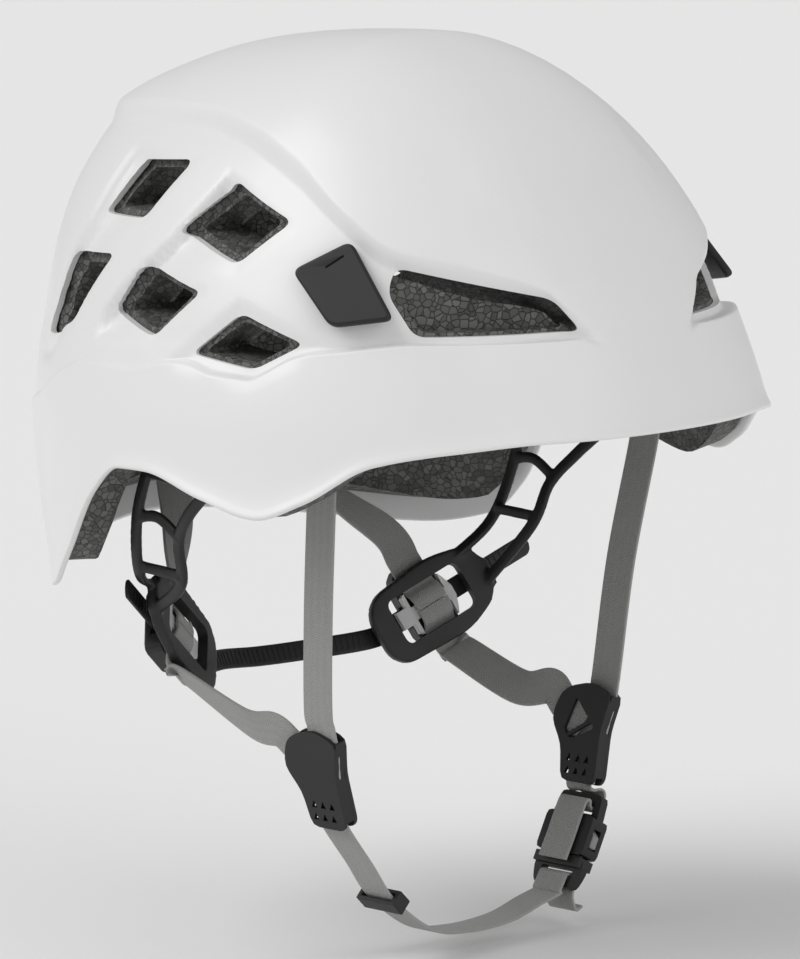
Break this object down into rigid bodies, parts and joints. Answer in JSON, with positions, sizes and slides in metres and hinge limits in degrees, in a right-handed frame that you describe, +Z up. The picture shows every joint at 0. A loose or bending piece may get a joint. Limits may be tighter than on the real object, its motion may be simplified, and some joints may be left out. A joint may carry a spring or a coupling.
{
  "type": "climbing helmet",
  "caption": "Climbing helmet: vented hard cap over bead foam, lamp clips, folding nape cradle with adjuster band, webbing harness and side-release chin buckle.",
  "frame": {"origin": "centre of the head opening, level with the lower edge of the front brim", "axes": "+Z up through the crown, front of the helmet towards -Y, wearer's left towards +X"},
  "size_m": [0.2368, 0.2788, 0.3128],
  "materials": {
    "shell": "satin white moulded plastic",
    "foam": "charcoal expanded bead foam",
    "core": "dark grey expanded foam",
    "pad": "black knitted comfort padding",
    "plastic": "black moulded nylon, fine texture",
    "catch": "translucent milky plastic",
    "webbing": "grey woven polyester webbing"
  },
  "bodies": {
    "helmet": {"outer_shell": "shell", "foam_liner": "foam", "crown_core": "core", "pad_crown": "pad", "pad_front": "pad", "pad_rear": "pad", "strap_anchor_front_left": "plastic", "strap_anchor_front_right": "plastic", "strap_anchor_rear": "plastic", "clip_root_front_left": "plastic", "clip_root_front_right": "plastic", "clip_root_rear": "plastic", "cradle_pivot_left": "plastic", "cradle_pivot_right": "plastic", "front_strap_left": "webbing", "front_strap_right": "webbing", "rear_strap_upper_left": "webbing", "rear_strap_upper_right": "webbing"},
    "lamp_clip_front_left": {"clip_front_left": "plastic"},
    "lamp_clip_front_right": {"clip_front_right": "plastic"},
    "lamp_clip_rear": {"clip_rear": "plastic"},
    "cradle": {"cradle_frame_left": "plastic", "cradle_frame_right": "plastic", "nape_band": "plastic", "rear_strap_lower_left": "webbing", "rear_strap_lower_right": "webbing"},
    "slider_left": {"band_slider_left": "plastic"},
    "slider_right": {"band_slider_right": "plastic"},
    "catch_button_left": {"catch_left": "catch"},
    "catch_button_right": {"catch_right": "catch"},
    "divider_left": {"divider_outer_left": "plastic", "divider_inner_left": "plastic"},
    "divider_right": {"divider_outer_right": "plastic", "divider_inner_right": "plastic"},
    "chin_loop": {"chin_strap": "webbing", "chin_strap_short": "webbing", "buckle_socket": "plastic"},
    "keeper": {"strap_keeper": "plastic"},
    "plug": {"buckle_plug": "plastic"},
    "latch_front": {"buckle_latch_front": "plastic"},
    "latch_rear": {"buckle_latch_rear": "plastic"}
  },
  "joints": [
    {"name": "lamp_clip_front_left_hinge", "type": "hinge", "parent": "helmet", "child": "lamp_clip_front_left", "pos_m": [0.08672, -0.05486, 0.05591], "axis": [-0.5839, -0.6028, 0.5439], "range_deg": [0, 8.5], "stiffness_Nm_per_rad": 0.4},
    {"name": "lamp_clip_front_right_hinge", "type": "hinge", "parent": "helmet", "child": "lamp_clip_front_right", "pos_m": [-0.08672, -0.05486, 0.05591], "axis": [-0.5839, 0.6028, -0.5439], "range_deg": [0, 8.5], "stiffness_Nm_per_rad": 0.4},
    {"name": "lamp_clip_rear_hinge", "type": "hinge", "parent": "helmet", "child": "lamp_clip_rear", "pos_m": [0, 0.14376, 0.03763], "axis": [1, 0, 0], "range_deg": [0, 8.5], "stiffness_Nm_per_rad": 0.4},
    {"name": "cradle_fold", "type": "hinge", "parent": "helmet", "child": "cradle", "pos_m": [0, 0.008, -0.008], "axis": [1, 0, 0], "range_deg": [-4.8, 4.6], "deforming": ["rear_strap_upper_left", "rear_strap_upper_right", "rear_strap_lower_left", "rear_strap_lower_right"]},
    {"name": "band_slide_right", "type": "slide", "parent": "cradle", "child": "slider_right", "axis": [-0.7625, -0.2046, 0.6137], "range_m": [-0.004, 0.004]},
    {"name": "catch_press_right", "type": "slide", "parent": "cradle", "child": "catch_button_right", "axis": [-0.435, 0.8643, -0.2524], "range_m": [0, 0.0007], "stiffness_N_per_m": 900},
    {"name": "divider_slide_right", "type": "slide", "parent": "helmet", "child": "divider_right", "axis": [-0.2372, 0, 0.9715], "range_m": [-0.002, 0.005], "deforming": ["front_strap_right"]},
    {"name": "band_slide_left", "type": "slide", "parent": "cradle", "child": "slider_left", "axis": [0.8816, -0.2365, 0.4085], "range_m": [-0.004, 0.004]},
    {"name": "catch_press_left", "type": "slide", "parent": "cradle", "child": "catch_button_left", "axis": [0.3754, 0.876, -0.3029], "range_m": [0, 0.0007], "stiffness_N_per_m": 900},
    {"name": "divider_slide_left", "type": "slide", "parent": "helmet", "child": "divider_left", "axis": [0.2372, 0, 0.9715], "range_m": [-0.002, 0.005], "deforming": ["front_strap_left"]},
    {"name": "chin_swing", "type": "hinge", "parent": "helmet", "child": "chin_loop", "pos_m": [0, -0.0366, -0.1428], "axis": [1, 0, 0], "range_deg": [-12, 12], "deforming": ["chin_strap", "chin_strap_short"]},
    {"name": "keeper_slide", "type": "slide", "parent": "chin_loop", "child": "keeper", "axis": [0.6919, 0, -0.722], "range_m": [-0.003, 0.003]},
    {"name": "buckle_release", "type": "slide", "parent": "chin_loop", "child": "plug", "axis": [-0.4699, 0, -0.8827], "range_m": [0, 0.022], "deforming": ["buckle_latch_front", "buckle_latch_rear"]},
    {"name": "latch_squeeze_front", "type": "hinge", "parent": "plug", "child": "latch_front", "pos_m": [0.05169, -0.0406, -0.16647], "axis": [-0.8827, 0, 0.4699], "range_deg": [0, 9], "stiffness_Nm_per_rad": 0.15},
    {"name": "latch_squeeze_rear", "type": "hinge", "parent": "plug", "child": "latch_rear", "pos_m": [0.05169, -0.0294, -0.16647], "axis": [0.8827, 0, -0.4699], "range_deg": [0, 9], "stiffness_Nm_per_rad": 0.15}
  ]
}
